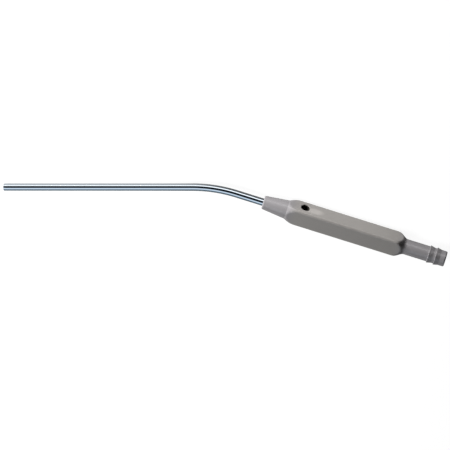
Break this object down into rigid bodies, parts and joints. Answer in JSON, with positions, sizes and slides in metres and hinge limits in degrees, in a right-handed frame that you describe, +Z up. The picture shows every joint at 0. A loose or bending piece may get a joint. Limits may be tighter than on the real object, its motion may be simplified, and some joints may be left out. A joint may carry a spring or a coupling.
{
  "type": "frazier suction tube",
  "caption": "Thin bent steel suction tube set in a grey plastic handle with a square grip, a thumb vent and a barbed hose connector.",
  "frame": {"origin": "on the table under the middle of the whole instrument's bounding box", "axes": "+X along the handle towards its hose end, +Y to the side that the vent faces, +Z up from the table; the tube bends away from the vent, towards -Y, until its tip touches the table"},
  "size_m": [0.2461, 0.0522, 0.0119],
  "materials": {
    "stainless_tube": "polished",
    "grey_plastic": "satin"
  },
  "bodies": {
    "root": {"suction_tube": "stainless_tube", "handle": "grey_plastic"}
  },
  "joints": []
}
